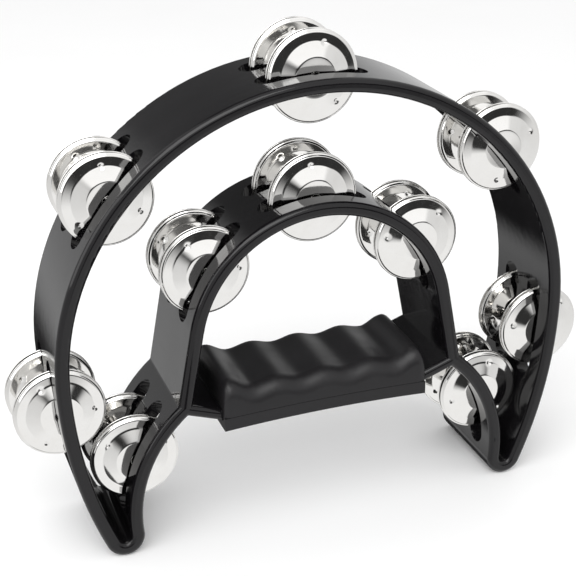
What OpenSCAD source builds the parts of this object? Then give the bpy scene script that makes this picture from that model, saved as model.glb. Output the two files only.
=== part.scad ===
// Half-moon tambourine: a one-piece moulded frame with two rows of jingle pairs
// and a finger-grooved grip clamped around the frame's bridge.
// Millimetres. X is the width, Y the depth (front is -Y), Z is up.
// The origin is under the middle, on the surface that the two horn tips stand on.

/* [Frame] */
// Width over the outer band
frame_w = 250; // [248:0.5:252]
// Depth from front face to back face
frame_d = 55; // [54:0.5:56]
// Thickness of every band
band_t = 6.6; // [6.2:0.1:7]
// Rounding of the front and back edges of the bands
edge_r = 2.6; // [1.5:0.1:2.9]
// Height of the outer band's centre above the horn tips
centre_z = 92.6; // [92:0.1:93]
// Radius of the outer band's outer face below its centre
flank_r = 228; // [226:1:230]

/* [Arch and horns] */
// Radius of the arch's hand side
arch_r = 58.3; // [57.5:0.1:59]
// Height of the arch's centre above the outer band's centre
arch_rise = 4.2; // [4:0.1:4.5]
// Half of the arch's sweep before its legs run straight
arch_half = 79.2; // [78:0.2:80]
// Radius of a horn leg's face towards the middle
leg_r = 67; // [66.5:0.1:67.5]
// Centre of a horn leg's curve, across and above the outer band's centre
leg_c = [23.2, -76];
// Thickness of the struts that carry the grip
strut_t = 5.3; // [5:0.1:5.6]
// Slope of the struts
strut_slope = 19.4; // [19:0.1:20]

/* [Slots and pins] */
// Distance of each slot row from mid-depth
row_y = 11; // [10.8:0.1:11.2]
// Width of a slot
slot_w = 12.5; // [12.2:0.1:12.8]
// Length of the slots in the outer band and the arch
slot_len = 52; // [51:0.5:53]
// Length of the slots in the horn legs
leg_slot_len = 58; // [57:0.5:59]
// Diameter of a jingle pin
pin_d = 2; // [1.8:0.1:2.2]
// Material left in front of a pin's blind hole
pin_blind = 3; // [2.5:0.1:4]

/* [Jingles] */
// Diameter of a jingle
jingle_d = 42; // [41:0.2:42.4]
// Sheet thickness
sheet = 0.6; // [0.5:0.05:0.7]
// Diameter of the centre hole
jingle_bore = 5.2; // [4.6:0.1:5.4]
// Gap between the lips of a pair
pair_gap = 1.6; // [1.4:0.1:1.8]
// Height of the shoulder between the lip and the flat ring
shoulder_h = 0.8; // [0.7:0.1:1]
// Rise of the ring from its outer edge to the dome
ring_rise = 0.4; // [0.3:0.05:0.45]
// Height of the dome above the ring
dome_h = 2.2; // [1.8:0.1:2.3]
// Depth of the dish in the middle of the dome
dish_h = 0.2; // [0:0.1:0.6]
// How far a jingle's centre sits outwards of its pin
jingle_out = 1; // [0:0.1:1.4]

/* [Grip] */
// Length of the grip
grip_len = 101; // [100.6:0.2:101.4]
// Reach of the grip in front of the frame's middle
grip_front = 30.5; // [30:0.5:31]
// Reach of the grip behind the frame's middle
grip_back = 19; // [18.5:0.5:20]
// Spacing of the finger grooves
groove_pitch = 23.4; // [23:0.1:23.8]
// Rounding of the grip's long upper edges
grip_edge = 8; // [6:0.5:8.5]
// Gap at the seam between the two halves
seam_gap = 0.2; // [0.15:0.05:0.3]

/* [Hidden] */
STATIONS = [
    // name, centre of the band's curve, radius, angle along it, slot length
    station("outer_top", [0, centre_z], band_r(), 90, slot_len),
    station("outer_left", [0, centre_z], band_r(), 140, slot_len),
    station("outer_right", [0, centre_z], band_r(), 40, slot_len),
    station("low_left", [-flank_x(), centre_z], flank_mid(), 184.85, slot_len),
    station("low_right", [flank_x(), centre_z], flank_mid(), -4.85, slot_len),
    station("arch_top", arch_c(), arch_mid(), 90, slot_len),
    station("arch_left", arch_c(), arch_mid(), 146, slot_len),
    station("arch_right", arch_c(), arch_mid(), 34, slot_len),
    station("horn_left", [-leg_c.x, centre_z + leg_c.y], leg_mid(), 158, leg_slot_len),
    station("horn_right", [leg_c.x, centre_z + leg_c.y], leg_mid(), 22, leg_slot_len)
];

sink = 0.3;              // overlap of neighbouring bands along their path
shy = 0.03;              // step between the surfaces of neighbouring bands
swell = 0.3;             // how far a junction's post stands out of the bands
fit = 0.02;              // pin in its hole, all round
fine = 96;               // sides of the large curves
small = 32;              // sides of the small curves
jingle_r = jingle_d / 2;
seam_mid = centre_z - 26.5;
seam_end = centre_z - 27.7;
floor_mid = centre_z - 32.6;
floor_end = centre_z - 34.2;
bridge_z = [centre_z - 29.75, centre_z - 24.35];
bridge_back = 15;        // back face of the bridge
crest_z = centre_z - 12.9;
trough_z = centre_z - 15.1;
horn_z = centre_z - 10.6;
horn_x = 46.6;
screw_at = [for (x = [-30, 30], y = [-18, 7]) [x, y]];

// A station is [name, hub across and up, angle of the band's outward side, slot length].
function station(name, c, r, a, len) = [name, c + r * [cos(a), sin(a)], a, len];
function band_r() = frame_w / 2 - band_t / 2;
function flank_x() = frame_w / 2 - flank_r;
function flank_mid() = flank_r - band_t / 2;
function arch_c() = [0, centre_z + arch_rise];
function arch_mid() = arch_r + band_t / 2;
function leg_mid() = leg_r + band_t / 2;

// Horn tip: the circle that touches the surface, the flank and the leg curve.
function tip_x(r) = flank_x() + sqrt(pow(flank_mid() - r, 2) - pow(centre_z - r - band_t / 2, 2));
function tip_miss(r) =
    norm([tip_x(r) - leg_c.x, r + band_t / 2 - centre_z - leg_c.y]) - leg_mid() - r;
function tip_root(lo, hi, n = 40) =
    n == 0 ? lo
    : tip_miss((lo + hi) / 2) > 0 ? tip_root((lo + hi) / 2, hi, n - 1)
    : tip_root(lo, (lo + hi) / 2, n - 1);
tip_r = tip_root(3, 9);
tip_c = [tip_x(tip_r), tip_r + band_t / 2];
flank_end = atan2(tip_c.y - centre_z, tip_c.x - flank_x());
leg_start = atan2(tip_c.y - centre_z - leg_c.y, tip_c.x - leg_c.x);

// Junction: where the arch's straight leg meets the horn leg's curve.
leg_top = arch_c() + arch_mid() * [sin(arch_half), cos(arch_half)];
leg_dir = [cos(arch_half), -sin(arch_half)];
leg_rel = leg_top - [leg_c.x, centre_z + leg_c.y];
leg_run = -leg_rel * leg_dir - sqrt(pow(leg_rel * leg_dir, 2) - leg_rel * leg_rel + pow(leg_mid(), 2));
knot = leg_top + leg_run * leg_dir;
leg_end = atan2(knot.y - centre_z - leg_c.y, knot.x - leg_c.x);
strut_run = (knot.x - 50.7) / cos(strut_slope);

// Section of a band: x across the band, y along the depth, with rounded ends.
module band_section(t = band_t, d = frame_d, r = edge_r) {
    square([t - 2 * r, d], center = true);
    square([t, d - 2 * r], center = true);
    for (x = [-1, 1], y = [-1, 1])
        translate([x * (t / 2 - r), y * (d / 2 - r)])
            circle(r = r, $fn = small);
}

// Section of a linking band, slightly smaller so that its ends sink into its neighbours.
module link_section() {
    band_section(band_t - 2 * shy, frame_d - 2 * shy);
}

// Angle by which the end of a linking band of radius r sinks into its neighbour.
function sunk(r) = sink / r * 180 / PI;

// Sweeps a section along an arc about the depth axis, from angle a0 to a1.
module arc_band(c, r, a0, a1) {
    translate([c.x, 0, c.y])
        rotate([90, 0, 0])
            rotate([0, 0, a0])
                rotate_extrude(angle = a1 - a0, $fn = fine)
                    translate([r, 0])
                        children();
}

// Band along a straight line from p, at angle a, for the given run.
module line_band(p, a, run) {
    translate([p.x, 0, p.y])
        rotate([0, -a, 0])
            rotate([90, 0, 90])
                linear_extrude(run)
                    rotate(90)
                        children();
}

// Rounded post that blends the three bands at a junction, a little fatter than they are.
module knuckle(p) {
    translate([p.x, 0, p.y])
        rotate([90, 0, 0])
            rotate_extrude($fn = fine)
                intersection() {
                    band_section(band_t + 2 * swell);
                    translate([0, -frame_d / 2])
                        square([band_t, frame_d]);
                }
}

// Right-hand flank, horn tip, horn leg, arch leg and strut.
module horn_side() {
    arc_band([flank_x(), centre_z], flank_mid(), flank_end - sunk(flank_mid()), sunk(flank_mid()))
        link_section();
    arc_band(tip_c, tip_r, leg_start - 180, flank_end)
        band_section();
    arc_band([leg_c.x, centre_z + leg_c.y], leg_mid(), leg_start - sunk(leg_mid()), leg_end)
        link_section();
    line_band(leg_top - sink * leg_dir, -arch_half, leg_run + sink)
        link_section();
    knuckle(knot);
    line_band(knot, 180 + strut_slope, strut_run)
        band_section(strut_t, frame_d, strut_t / 2 - 0.4);
}

// Slot cutter for one row: a round-ended prism through the band.
module slot_cut(len) {
    translate([0, 0, -3.5])
        cube([len - slot_w, slot_w, 17], center = true);
    for (x = [-1, 1])
        translate([x * (len - slot_w) / 2, 0, -3.5])
            cylinder(h = 17, d = slot_w, center = true, $fn = 48);
}

module at_hub(s) {
    translate([s[1].x, 0, s[1].y])
        rotate([0, 90 - s[2], 0])
            children();
}

module frame() {
    color([0.07, 0.07, 0.075])
        difference() {
            union() {
                arc_band([0, centre_z], band_r(), 0, 180)
                    band_section();
                arc_band(arch_c(), arch_mid(), 90 - arch_half, 90 + arch_half)
                    band_section();
                horn_side();
                mirror([1, 0, 0])
                    horn_side();
                translate([-51, -frame_d / 2, bridge_z[0]])
                    cube([102, frame_d / 2 + bridge_back, bridge_z[1] - bridge_z[0]]);
            }
            for (s = STATIONS) {
                at_hub(s)
                    for (y = [-row_y, row_y])
                        translate([0, y, 0])
                            slot_cut(s[3]);
                translate([s[1].x, pin_blind - frame_d / 2, s[1].y])
                    rotate([-90, 0, 0])
                        cylinder(h = frame_d, d = pin_d + 2 * fit, $fn = small);
            }
            for (p = screw_at)
                translate([p.x, p.y, bridge_z[0] - 1])
                    cylinder(h = 8, d = 3.4, $fn = small);
        }
}

// Height of the grip's top along its length, with grooves and end bumps.
function groove_z(x) =
    let (u = abs(x), last = 1.5 * groove_pitch)
    u <= last ? (crest_z + trough_z) / 2 + (crest_z - trough_z) / 2 * cos(360 * u / groove_pitch)
    : trough_z + (horn_z - trough_z) * (1 - cos(180 * (u - last) / (horn_x - last))) / 2;
function bow(x, mid, end) = mid + (end - mid) * pow(2 * x / grip_len, 2);

// Stations along half of the grip: [x, top, edge rounding, inset of the sides].
half_len = grip_len / 2;
grip_half = concat(
    [for (i = [0:29]) let (x = horn_x * i / 30) [x, groove_z(x), grip_edge, 0]],
    [for (i = [0:6]) let (a = 15 * i, k = 1 - cos(a))
        [horn_x + (half_len - horn_x) * sin(a), horn_z - 6 * k, grip_edge, 1.5 * k]]
);
grip_rows = concat(
    [for (i = [len(grip_half) - 1:-1:1]) let (g = grip_half[i]) [-g[0], g[1], g[2], g[3]]],
    grip_half
);
grip_arc = 7;

// One cross-section of the upper half, anticlockwise seen from +X.
function grip_ring(g) =
    let (back = grip_back - g[3], front = g[3] - grip_front, r = g[2], z0 = bow(g[0], seam_mid, seam_end))
    concat(
        [[g[0], front, z0]],
        [[g[0], back, z0]],
        [for (j = [0:grip_arc]) let (a = 90 * j / grip_arc)
            [g[0], back - r + r * cos(a), g[1] - r + r * sin(a)]],
        [for (j = [0:grip_arc]) let (a = 90 + 90 * j / grip_arc)
            [g[0], front + r + r * cos(a), g[1] - r + r * sin(a)]]
    );

module grip_skin() {
    n = 4 + 2 * grip_arc;
    m = len(grip_rows);
    polyhedron(
        points = [for (g = grip_rows) each grip_ring(g)],
        faces = concat(
            [[for (j = [0:n - 1]) j]],
            [[for (j = [n - 1:-1:0]) (m - 1) * n + j]],
            [for (i = [0:m - 2], j = [0:n - 1])
                [i * n + j, (i + 1) * n + j, i * n + (j + 1) % n]],
            [for (i = [0:m - 2], j = [0:n - 1])
                [i * n + (j + 1) % n, (i + 1) * n + j, (i + 1) * n + (j + 1) % n]]
        )
    );
}

// Room for the bridge inside the grip, and for the full depth of the struts at its ends.
module bridge_room(z0, z1) {
    translate([-grip_len / 2 - 1, -frame_d / 2 - 0.1, z0])
        cube([grip_len + 2, frame_d / 2 + bridge_back + 0.2, z1 - z0]);
    for (side = [-1, 1])
        translate([side * grip_len / 2 - 2.5, -frame_d / 2 - 0.1, z0])
            cube([5, frame_d + 0.2, z1 - z0]);
}

module grip_upper() {
    color([0.10, 0.10, 0.105])
        difference() {
            grip_skin();
            bridge_room(bridge_z[0] - 5, bridge_z[1] + 0.1);
            difference() {
                translate([-44, -24, bridge_z[1] - 1])
                    cube([88, 36.5, 6.2]);
                for (p = screw_at)
                    translate([p.x, p.y, bridge_z[1] - 2])
                        cylinder(h = 9, d = 8, $fn = small);
                for (x = [-15, 0, 15])
                    translate([x - 1, -25, bridge_z[1] - 2])
                        cube([2, 39, 9]);
            }
            for (p = screw_at)
                translate([p.x, p.y, bridge_z[1] - 1])
                    cylinder(h = 6.8, d = 3, $fn = small);
        }
}

module grip_lower() {
    n = 24;
    xs = [for (i = [0:n]) grip_len * (i / n - 0.5)];
    color([0.10, 0.10, 0.105])
        difference() {
            translate([0, grip_back, 0])
                rotate([90, 0, 0])
                    linear_extrude(grip_front + grip_back)
                        polygon(concat(
                            [for (x = xs) [x, bow(x, floor_mid, floor_end)]],
                            [for (i = [n:-1:0]) [xs[i], bow(xs[i], seam_mid, seam_end) - seam_gap]]
                        ));
            bridge_room(bridge_z[0] - 0.05, seam_mid + 1);
            for (p = screw_at) {
                translate([p.x, p.y, floor_end - 1])
                    cylinder(h = 9, d = 3.4, $fn = small);
                translate([p.x, p.y, floor_end - 1])
                    cylinder(h = 3.2, d = 6.4, $fn = small);
            }
        }
}

// Self-tapping pan-head screw, head down, with a cross recess.
module grip_screw() {
    head_z = floor_end + 0.2;
    difference() {
        union() {
            translate([0, 0, head_z])
                cylinder(h = 1.95, d = 5.8, $fn = small);
            translate([0, 0, head_z + 1])
                cylinder(h = 14.2, d = 2.9, $fn = small);
        }
        for (a = [0, 90])
            translate([0, 0, head_z])
                rotate(a)
                    cube([3.2, 0.8, 2], center = true);
    }
}

module grip_screws() {
    color([0.55, 0.55, 0.57])
        for (p = screw_at)
            translate([p.x, p.y, 0])
                grip_screw();
}

// Pin pressed in from the back through both rows.
module pin(s) {
    color([0.78, 0.78, 0.80])
        translate([s[1].x, pin_blind - frame_d / 2 + 0.2, s[1].y])
            rotate([-90, 0, 0])
                cylinder(h = frame_d - pin_blind - 0.8, d = pin_d, $fn = small);
}

// Outer face of a jingle above its lip plane: lip, shoulder, ring, dome, crest, dish.
ring_z = sheet + shoulder_h;
crest_h = ring_z + ring_rise + dome_h;
jingle_face = [
    [jingle_r, sheet],
    [jingle_r - 0.5, sheet],
    [jingle_r - 1.4, ring_z],
    [jingle_r - 5.3, ring_z + ring_rise],
    [jingle_r - 11.6, crest_h],
    [jingle_r - 12.1, crest_h],
    [jingle_bore / 2, crest_h - dish_h]
];

module jingle_disc() {
    last = len(jingle_face) - 1;
    rotate_extrude($fn = fine)
        polygon(concat(
            jingle_face,
            [for (i = [last:-1:0]) jingle_face[i] - [0, sheet]]
        ));
}

// Jingle k of a station, numbered from the front; domes face outwards in each pair.
module jingle(s, k) {
    facing = k % 2 == 1 ? -1 : 1;
    y = (k < 3 ? -row_y : row_y) + facing * pair_gap / 2;
    centre = s[1] + jingle_out * [cos(s[2]), sin(s[2])];
    color([0.86, 0.86, 0.87])
        translate([centre.x, y, centre.y])
            rotate([facing < 0 ? 90 : -90, 0, 0])
                jingle_disc();
}

frame();
grip_upper();
grip_lower();
grip_screws();
for (s = STATIONS)
    pin(s);
for (s = STATIONS, k = [1:4])
    jingle(s, k);
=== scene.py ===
"""Looks of the half-moon tambourine: glossy frame, satin grip, stamped nickel jingles on steel pins."""

import math

import bpy
from mathutils import Matrix, Vector


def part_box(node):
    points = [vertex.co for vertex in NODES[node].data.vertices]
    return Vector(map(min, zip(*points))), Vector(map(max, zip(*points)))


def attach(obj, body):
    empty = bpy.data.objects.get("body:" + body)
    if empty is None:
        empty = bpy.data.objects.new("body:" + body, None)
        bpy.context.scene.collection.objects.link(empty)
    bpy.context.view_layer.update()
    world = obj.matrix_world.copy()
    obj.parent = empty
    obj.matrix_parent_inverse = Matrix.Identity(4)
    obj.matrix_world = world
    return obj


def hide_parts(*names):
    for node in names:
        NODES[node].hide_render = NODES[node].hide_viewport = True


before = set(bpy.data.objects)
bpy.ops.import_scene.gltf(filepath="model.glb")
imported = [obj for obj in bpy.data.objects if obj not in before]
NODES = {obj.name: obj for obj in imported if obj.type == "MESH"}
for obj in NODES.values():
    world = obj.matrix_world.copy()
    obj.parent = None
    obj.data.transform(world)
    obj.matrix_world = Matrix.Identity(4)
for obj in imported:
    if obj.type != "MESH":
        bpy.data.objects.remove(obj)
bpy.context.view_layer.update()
MM = 0.001

# ---------------------------------------------------------------- node helpers


class Shader:
    """A node material built in short steps around one Principled BSDF."""

    def __init__(self, name, **sockets):
        self.material = bpy.data.materials.new(name)
        self.material.use_nodes = True
        self.tree = self.material.node_tree
        self.bsdf = self.tree.nodes["Principled BSDF"]
        for key, value in sockets.items():
            self.bsdf.inputs[key.replace("_", " ")].default_value = value
        self.place = self.node("ShaderNodeTexCoord").outputs["Object"]

    def node(self, kind, **fields):
        made = self.tree.nodes.new(kind)
        for key, value in fields.items():
            setattr(made, key, value)
        return made

    def link(self, start, end):
        self.tree.links.new(start, end)

    def stretched(self, scale):
        """Coordinates multiplied by a vector, for marks that run along one direction."""
        mapping = self.node("ShaderNodeMapping")
        mapping.inputs["Scale"].default_value = scale
        self.link(self.place, mapping.inputs["Vector"])
        return mapping.outputs["Vector"]

    def noise(self, scale, detail=2.0, rough=0.5, source=None):
        made = self.node("ShaderNodeTexNoise")
        made.inputs["Scale"].default_value = scale
        made.inputs["Detail"].default_value = detail
        made.inputs["Roughness"].default_value = rough
        self.link(source or self.place, made.inputs["Vector"])
        return made.outputs["Fac"]

    def spread(self, value, low, high, to_low, to_high):
        """Maps the stretch from low to high smoothly onto the one from to_low to to_high."""
        made = self.node("ShaderNodeMapRange", interpolation_type="SMOOTHSTEP")
        ends = {"From Min": low, "From Max": high, "To Min": to_low, "To Max": to_high}
        for key, number in ends.items():
            made.inputs[key].default_value = number
        self.link(value, made.inputs["Value"])
        return made.outputs["Result"]

    def calc(self, operation, a, b=0):
        """One math step on two values or sockets."""
        made = self.node("ShaderNodeMath", operation=operation)
        for socket, value in zip(made.inputs, (a, b)):
            if isinstance(value, (int, float)):
                socket.default_value = value
            else:
                self.link(value, socket)
        return made.outputs["Value"]

    def tint(self, value, dark, light):
        """A colour between two, by a value from 0 to 1."""
        made = self.node("ShaderNodeMix", data_type="RGBA")
        made.inputs["A"].default_value = (*dark, 1)
        made.inputs["B"].default_value = (*light, 1)
        self.link(value, made.inputs["Factor"])
        return made.outputs["Result"]

    def bump(self, height, strength, distance, under=None):
        """A fine relief, laid over another one if there is one under it."""
        made = self.node("ShaderNodeBump")
        made.inputs["Strength"].default_value = strength
        made.inputs["Distance"].default_value = distance
        self.link(height, made.inputs["Height"])
        if under:
            self.link(under, made.inputs["Normal"])
        return made.outputs["Normal"]

    def use(self, **sockets):
        """Plugs values into the Principled BSDF's sockets and returns the material."""
        for key, value in sockets.items():
            self.link(value, self.bsdf.inputs[key.replace("_", " ")])
        return self.material


def gloss_plastic():
    """Black moulded plastic: mirror-like, with faint flow marks, orange peel and hairline scuffs."""
    s = Shader("frame_gloss_black", IOR=1.42)
    peel = s.noise(260, 3)
    flow = s.noise(14, 3, 0.55, s.stretched((1, 3, 1)))
    scuffs = s.spread(s.noise(420, 4, 0.7, s.stretched((1, 0.12, 1))), 0.60, 0.72, 0, 1)
    colour = s.tint(flow, (0.0032, 0.0029, 0.0034), (0.0080, 0.0074, 0.0084))
    rough = s.calc("ADD", s.spread(flow, 0.3, 0.7, 0.06, 0.12), s.calc("MULTIPLY", scuffs, 0.09))
    fine = s.bump(s.noise(2600, 2), 0.12, 0.00004)
    wavy = s.bump(peel, 0.10, 0.00035, fine)
    return s.use(Base_Color=colour, Roughness=rough, Normal=wavy)


def satin_plastic():
    """Dark grey grip plastic: fine spark-eroded grain, polished a little where fingers and palm rub."""
    s = Shader("grip_satin_grey", IOR=1.42)
    split = s.node("ShaderNodeSeparateXYZ")
    s.link(s.place, split.inputs["Vector"])
    worn_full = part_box("grip_upper")[1].z - 3 * MM
    worn_from = worn_full - 5 * MM
    handled = s.spread(split.outputs["Z"], worn_from, worn_full, 0, 1)
    patch = s.noise(60, 3)
    colour = s.tint(patch, (0.0072, 0.0067, 0.0075), (0.0130, 0.0122, 0.0136))
    rough = s.calc("SUBTRACT", s.spread(patch, 0.3, 0.7, 0.40, 0.50), s.calc("MULTIPLY", handled, 0.06))
    grain = s.bump(s.noise(2400, 3, 0.6), 0.28, 0.00010)
    soft = s.bump(s.noise(90, 2), 0.12, 0.0006, grain)
    return s.use(Base_Color=colour, Roughness=rough, Normal=soft)


def nickel():
    """Bright nickel plate over stamped steel, with fine turning marks, handling haze and a few pits."""
    s = Shader("jingle_nickel", Metallic=1.0)
    split = s.node("ShaderNodeSeparateXYZ")
    s.link(s.place, split.inputs["Vector"])
    x2 = s.calc("MULTIPLY", split.outputs["X"], split.outputs["X"])
    y2 = s.calc("MULTIPLY", split.outputs["Y"], split.outputs["Y"])
    radius = s.calc("SQRT", s.calc("ADD", x2, y2))
    rings = s.node("ShaderNodeCombineXYZ")
    s.link(radius, rings.inputs["X"])
    turned = s.noise(3000, 2, 0.6, rings.outputs["Vector"])
    haze = s.noise(150, 4, 0.6)
    pits = s.spread(s.noise(900, 2, 0.5), 0.70, 0.78, 0, 1)
    colour = s.tint(haze, (0.83, 0.815, 0.79), (0.92, 0.915, 0.90))
    rough = s.calc("ADD", s.spread(haze, 0.35, 0.70, 0.05, 0.10), s.calc("MULTIPLY", pits, 0.10))
    lines = s.bump(turned, 0.04, 0.00003)
    dents = s.bump(s.noise(70, 1), 0.05, 0.0005, lines)
    return s.use(Base_Color=colour, Roughness=rough, Normal=dents)


def drawn_steel():
    """Bright drawn wire: streaks along the pin's length."""
    s = Shader("pin_drawn_steel", Metallic=1.0)
    streak = s.noise(2500, 3, 0.6, s.stretched((1, 0.04, 1)))
    colour = s.tint(streak, (0.60, 0.59, 0.58), (0.80, 0.80, 0.79))
    rough = s.spread(streak, 0.3, 0.7, 0.14, 0.30)
    return s.use(Base_Color=colour, Roughness=rough, Normal=s.bump(streak, 0.15, 0.00004))


def zinc_plate():
    """Zinc-plated screws: cool grey with a mottled passivated film."""
    s = Shader("screw_zinc", Metallic=1.0)
    film = s.noise(700, 3, 0.6)
    colour = s.tint(film, (0.47, 0.48, 0.50), (0.66, 0.67, 0.68))
    rough = s.spread(film, 0.3, 0.7, 0.24, 0.40)
    return s.use(Base_Color=colour, Roughness=rough, Normal=s.bump(s.noise(1800, 2), 0.2, 0.00005))


def paper():
    """Seamless pale studio paper."""
    s = Shader("studio_paper", Roughness=0.75)
    return s.use(
        Base_Color=s.tint(s.noise(6, 2), (0.90, 0.90, 0.90), (0.93, 0.93, 0.93)),
        Normal=s.bump(s.noise(900, 2), 0.03, 0.0002),
    )


# ---------------------------------------------------------------- jingles

# Millimetres, as in the CAD. From the rim inwards a disc has a flat lip, a steep shoulder, a ring that rises
# slightly, a dome that starts at a step, and a shallow dish inside the dome's crest.
JINGLE_R, HOLE_R = 21.0, 2.6
SHEET = 0.6
LIP = 0.5
RING_R, STEP_R, CREST_R = 19.6, 15.7, 9.4
DISH_R = CREST_R - 0.3
SHOULDER_H, RING_RISE, DOME_H, DISH_H = 0.8, 0.4, 2.2, 0.2
LIP_R = JINGLE_R - LIP

DIMPLES = 3                             # punched marks on each disc
DIMPLE_DEPTH, DIMPLE_SPREAD = 0.5, 0.95
DIMPLE_R = STEP_R - 0.1

SIDES = 96                              # steps round a disc
CROWDING = 0.6                          # how strongly those steps gather at the marks
TURNS = 5                               # discs that differ by how far their marks are turned


def ease(u):
    """A smooth climb from 0 to 1."""
    u = max(0.0, min(1.0, u))
    return u * u * (3 - 2 * u)


def soft_ramp(u, corner=0.06):
    """A straight climb from 0 to 1 whose two corners are slightly rounded."""
    if u <= -corner:
        return 0.0
    if u < corner:
        return (u + corner) ** 2 / (4 * corner)
    if u > 1 - corner:
        return 1.0 - max(0.0, 1 + corner - u) ** 2 / (4 * corner)
    return u


def sheet_height(r):
    """Outer face of a jingle above its lip plane, in millimetres, at radius r."""
    h = SHEET + SHOULDER_H * ease((LIP_R - r) / (LIP_R - RING_R))
    h += RING_RISE * max(0.0, min(1.0, (RING_R - r) / (RING_R - STEP_R)))
    h += DOME_H * soft_ramp((STEP_R - r) / (STEP_R - CREST_R))
    h -= DISH_H * soft_ramp((DISH_R - r) / (DISH_R - HOLE_R))
    return h


def dimple(r, angle):
    """Depth of the punched marks, which sit where the dome leaves the ring."""
    depth = 0.0
    for k in range(DIMPLES):
        off = (angle - k * math.tau / DIMPLES + math.pi) % math.tau - math.pi
        away = math.hypot(off * STEP_R, r - DIMPLE_R)
        depth += DIMPLE_DEPTH * math.exp(-((away / DIMPLE_SPREAD) ** 2))
    return depth


def jingle_profile():
    """Once round the sheet's section as (radius, height, marked): outer face inwards, inner face outwards."""
    # The radii lie closest together where the sheet bends.
    radii = [LIP_R - 0.15 * i for i in range(6)]
    radii += [RING_R - 0.5 * i for i in range(5)]
    radii += [STEP_R + 1.4 - 0.28 * i for i in range(13)]
    radii += [13.2, 12.2, 11.2, 10.4, 9.9, 9.6, 9.4, 9.2, 8.9, 8.2, 7.0, 5.6, 4.2, 3.3, HOLE_R + 0.35]
    outer = [(r, sheet_height(r), 1) for r in radii]
    inner = [(r, h - SHEET, 1) for r, h, _ in reversed(outer)]
    bore = sheet_height(HOLE_R) - SHEET / 2
    bore_edge = [(HOLE_R + 0.1, bore + 0.24, 0), (HOLE_R, bore, 0), (HOLE_R + 0.1, bore - 0.24, 0)]
    rim = [(JINGLE_R - 0.12, 0.10, 0), (JINGLE_R, SHEET / 2, 0), (JINGLE_R - 0.12, SHEET - 0.10, 0)]
    return outer + bore_edge + inner + rim


def jingle_mesh(turn):
    """A closed stamped disc about local Z, its lip plane at z = 0, its dome towards +Z, its marks turned."""
    section = jingle_profile()
    count = len(section)
    points = []
    for i in range(SIDES):
        even = math.tau * i / SIDES
        a = even - CROWDING * math.sin(DIMPLES * even) / DIMPLES
        for r, h, marked in section:
            z = h - (dimple(r, a) if marked else 0)
            points.append((r * math.cos(a + turn) * MM, r * math.sin(a + turn) * MM, z * MM))
    faces = []
    for i in range(SIDES):
        for j in range(count):
            a, b = i * count, (i + 1) % SIDES * count
            k = (j + 1) % count
            faces.append((a + j, b + j, b + k, a + k))
    mesh = bpy.data.meshes.new("jingle_stamping")
    mesh.from_pydata(points, [], faces)
    mesh.validate()
    mesh.shade_smooth()
    return mesh


def place_jingles(metal):
    """One stamped disc in place of each CAD jingle, each turned its own way about its pin."""
    meshes = [jingle_mesh(math.tau / DIMPLES * i / TURNS) for i in range(TURNS)]
    for mesh in meshes:
        mesh.materials.append(metal)
    for i, name in enumerate(sorted(n for n in NODES if n.startswith("jingle_"))):
        low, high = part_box(name)
        faces_front = name.endswith(("_1", "_3"))
        piece = bpy.data.objects.new(name + "_stamped", meshes[i * 3 % TURNS])
        bpy.context.scene.collection.objects.link(piece)
        lip_y = high.y if faces_front else low.y
        piece.rotation_mode = "QUATERNION"
        face = Matrix.Rotation(math.radians(90 if faces_front else -90), 4, "X")
        piece.matrix_world = Matrix.Translation(((low.x + high.x) / 2, lip_y, (low.z + high.z) / 2)) @ face
        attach(piece, name)
        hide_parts(name)


# ---------------------------------------------------------------- CAD nodes that stay


def smooth(node, sharp_from=32.0):
    """Shades a CAD node smoothly, with creases kept, by modifiers only."""
    node.data.shade_smooth()
    weld = node.modifiers.new("weld", "WELD")
    weld.merge_threshold = 0.00001
    split = node.modifiers.new("creases", "EDGE_SPLIT")
    split.split_angle = math.radians(sharp_from)
    node.modifiers.new("even_normals", "WEIGHTED_NORMAL")


def finish_node(name, material, sharp_from=32.0):
    node = NODES[name]
    node.data.materials.clear()
    node.data.materials.append(material)
    smooth(node, sharp_from)


# The frame's bands in millimetres, as in the CAD: a rounded section swept along circles.
BAND_T, EDGE_R = 6.6, 2.6
FRAME_LOW, FRAME_HIGH = (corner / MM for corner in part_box("frame"))
OUTER_R = FRAME_HIGH.x
FRAME_DEPTH = FRAME_HIGH.y - FRAME_LOW.y
CENTRE_Z = FRAME_HIGH.z - OUTER_R
FLANK_R, ARCH_R, LEG_R = 228.0, 58.3, 67.0
ARCH_RISE = 4.2
LEG_CENTRE = (23.2, -76.0)
TIP_CENTRE, TIP_R = (99.19, 9.337), 6.037
# Each sweep is (centre across, centre up, radius of the band's middle).
SIDE_SWEEPS = [
    (OUTER_R - FLANK_R, CENTRE_Z, FLANK_R - BAND_T / 2),
    (LEG_CENTRE[0], CENTRE_Z + LEG_CENTRE[1], LEG_R + BAND_T / 2),
    (*TIP_CENTRE, TIP_R),
]
SWEEPS = [(0.0, CENTRE_Z, OUTER_R - BAND_T / 2), (0.0, CENTRE_Z + ARCH_RISE, ARCH_R + BAND_T / 2)]
SWEEPS += SIDE_SWEEPS + [(-x, z, r) for x, z, r in SIDE_SWEEPS]
NEAR = 0.08                             # how far a point may lie off a sweep's face and still belong to it
INNER_SLACK = 0.05                      # how far inside the rounded edge a point may lie
FLAT_SLACK = 0.02                       # how far past a flat face a point may lie before it counts as edge
SAME_WAY = 0.96                         # least cosine between the exact normal and the mesh's own


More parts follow.
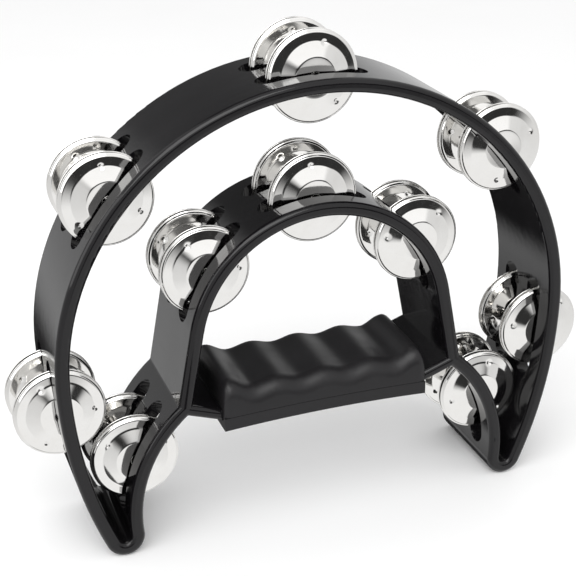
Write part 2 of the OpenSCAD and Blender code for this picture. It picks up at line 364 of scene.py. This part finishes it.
def swept_normal(point, rough):
    """The exact normal of the band surface through a point, or the mesh's own where no sweep fits."""
    best, fit = rough, SAME_WAY
    for cx, cz, radius in SWEEPS:
        out = Vector((point.x - cx, 0, point.z - cz))
        across = out.length - radius
        if abs(across) > BAND_T / 2 + NEAR:
            continue
        side = out.normalized() * math.copysign(1, across)
        over = abs(across) - (BAND_T / 2 - EDGE_R)
        front = abs(point.y) - (FRAME_DEPTH / 2 - EDGE_R)
        if over < -INNER_SLACK:
            continue
        exact = side.copy()
        if front > FLAT_SLACK:
            exact = side * max(over, 0) + Vector((0, math.copysign(front, point.y), 0))
            exact.normalize()
        elif abs(over - EDGE_R) > NEAR:
            continue
        if exact.dot(rough) > fit:
            best, fit = exact, exact.dot(rough)
    return best


def finish_frame(material):
    """The frame's glossy bands mirror the room, so their shading normals are worked out from the sweeps."""
    node = NODES["frame"]
    mesh = node.data
    mesh.materials.clear()
    mesh.materials.append(material)
    rough = [Vector((0, 0, 0)) for _ in mesh.vertices]
    for corner, loop in zip(mesh.corner_normals, mesh.loops):
        rough[loop.vertex_index] += corner.vector
    exact = [swept_normal(v.co / MM, n.normalized()) for v, n in zip(mesh.vertices, rough)]
    mesh.shade_smooth()
    mesh.normals_split_custom_set_from_vertices(exact)


# ---------------------------------------------------------------- studio


def add_floor():
    """A large flat sheet of pale paper that the horn tips stand on. Polished surfaces don't mirror it."""
    half = 3.0
    corners = [(-half, -half, 0), (half, -half, 0), (half, half, 0), (-half, half, 0)]
    mesh = bpy.data.meshes.new("paper_sweep")
    mesh.from_pydata(corners, [], [(0, 1, 2, 3)])
    mesh.materials.append(paper())
    floor = bpy.data.objects.new("floor", mesh)
    bpy.context.scene.collection.objects.link(floor)
    floor.visible_glossy = False


def add_softbox(name, centre, aim, size, power):
    light = bpy.data.lights.new(name, "AREA")
    light.shape = "RECTANGLE"
    light.size, light.size_y = size
    light.energy = power
    lamp = bpy.data.objects.new(name, light)
    bpy.context.scene.collection.objects.link(lamp)
    lamp.location = centre
    lamp.rotation_mode = "QUATERNION"
    lamp.rotation_quaternion = (Vector(aim) - Vector(centre)).to_track_quat("-Z", "Y")


# What polished surfaces mirror, as (sine of the elevation, grey) from straight down to straight up.
AHEAD = [(-1.0, 0.95), (-0.36, 0.95), (-0.29, 0.60), (-0.22, 0.03), (0.06, 0.03), (0.16, 1.1), (1.0, 1.0)]
BEHIND = [
    (-1.0, 0.3), (-0.6, 0.03), (-0.2, 0.03), (0.05, 0.15),
    (0.3, 0.22), (0.5, 0.10), (0.88, 0.10), (1.0, 0.9),
]
LEFT = [(-1.0, 0.95), (-0.3, 0.75), (0.0, 0.7), (0.3, 0.8), (0.6, 0.9), (1.0, 1.0)]
RIGHT = [(-1.0, 0.95), (-0.5, 0.85), (0.0, 0.75), (1.0, 1.0)]
WHITE = (0.95, 0.95, 0.95, 1)


def add_world():
    """A white room for the eye and for soft light. Mirror rays see the four walls above instead."""
    world = bpy.data.worlds.new("studio")
    bpy.context.scene.world = world
    world.use_nodes = True
    tree = world.node_tree
    new, link = tree.nodes.new, tree.links.new
    background = tree.nodes["Background"]
    place = new("ShaderNodeTexCoord")
    split = new("ShaderNodeSeparateXYZ")
    link(place.outputs["Generated"], split.inputs["Vector"])

    def between(axis, start, end):
        """0 to 1 as the direction's part along an axis goes from start to end."""
        made = new("ShaderNodeMapRange")
        made.interpolation_type = "SMOOTHSTEP"
        made.inputs["From Min"].default_value = start
        made.inputs["From Max"].default_value = end
        link(split.outputs[axis], made.inputs["Value"])
        return made.outputs["Result"]

    def wall(stops):
        made = new("ShaderNodeValToRGB")
        line = made.color_ramp
        for _ in stops[2:]:
            line.elements.new(0.5)
        for element, (height, grey) in zip(line.elements, stops):
            element.position = (height + 1) / 2
            element.color = (grey, grey, grey, 1)
        lift = new("ShaderNodeMapRange")
        lift.inputs["From Min"].default_value = -1.0
        link(split.outputs["Z"], lift.inputs["Value"])
        link(lift.outputs["Result"], made.inputs["Fac"])
        return made.outputs["Color"]

    def mix(factor, first, second):
        made = new("ShaderNodeMix")
        made.data_type = "RGBA"
        link(factor, made.inputs["Factor"])
        if isinstance(first, tuple):
            made.inputs["A"].default_value = first
        else:
            link(first, made.inputs["A"])
        link(second, made.inputs["B"])
        return made.outputs["Result"]

    right = wall(RIGHT)
    behind = mix(between("X", 0.36, 0.48), wall(BEHIND), right)
    room = mix(between("Y", -0.1, 0.35), wall(AHEAD), behind)
    room = mix(between("X", -0.20, -0.36), room, wall(LEFT))
    room = mix(between("X", 0.54, 0.64), room, right)
    path = new("ShaderNodeLightPath")
    link(mix(path.outputs["Is Glossy Ray"], WHITE, room), background.inputs["Color"])


CAMERA_TARGET = Vector((-0.0181, -0.0275, 0.1242))
CAMERA_AZIMUTH, CAMERA_ELEVATION, CAMERA_ROLL = -19.9, 24.5, -0.67
CAMERA_DISTANCE = 0.5838
CAMERA_LENS = 81.6


def add_camera():
    az, el, roll = (math.radians(a) for a in (CAMERA_AZIMUTH, CAMERA_ELEVATION, CAMERA_ROLL))
    back = Vector((math.sin(az) * math.cos(el), -math.cos(az) * math.cos(el), math.sin(el)))
    level = Vector((math.cos(az), math.sin(az), 0))
    up = back.cross(level)
    right = math.cos(roll) * level + math.sin(roll) * up
    over = -math.sin(roll) * level + math.cos(roll) * up
    data = bpy.data.cameras.new("camera")
    data.sensor_width = 36.0
    data.lens = CAMERA_LENS
    camera = bpy.data.objects.new("camera", data)
    bpy.context.scene.collection.objects.link(camera)
    turn = Matrix((right, over, back)).transposed().to_4x4()
    camera.matrix_world = Matrix.Translation(CAMERA_TARGET + back * CAMERA_DISTANCE) @ turn
    bpy.context.scene.camera = camera


# ---------------------------------------------------------------- build

add_camera()
add_floor()
add_world()
add_softbox("key_over_front", (-0.5, -0.9, 1.3), (0, 0, 0.1), (1.6, 1.0), 14)
add_softbox("fill_left", (-1.3, -0.1, 0.6), (0, 0, 0.1), (1.0, 0.8), 4)

BLACK = gloss_plastic()
GREY = satin_plastic()
STEEL = drawn_steel()
finish_frame(BLACK)
for half in ("grip_upper", "grip_lower"):
    finish_node(half, GREY, 40.0)
finish_node("grip_screws", zinc_plate())
for pin in sorted(n for n in NODES if n.startswith("pin_")):
    finish_node(pin, STEEL)
place_jingles(nickel())

bpy.context.scene.view_settings.view_transform = "Standard"
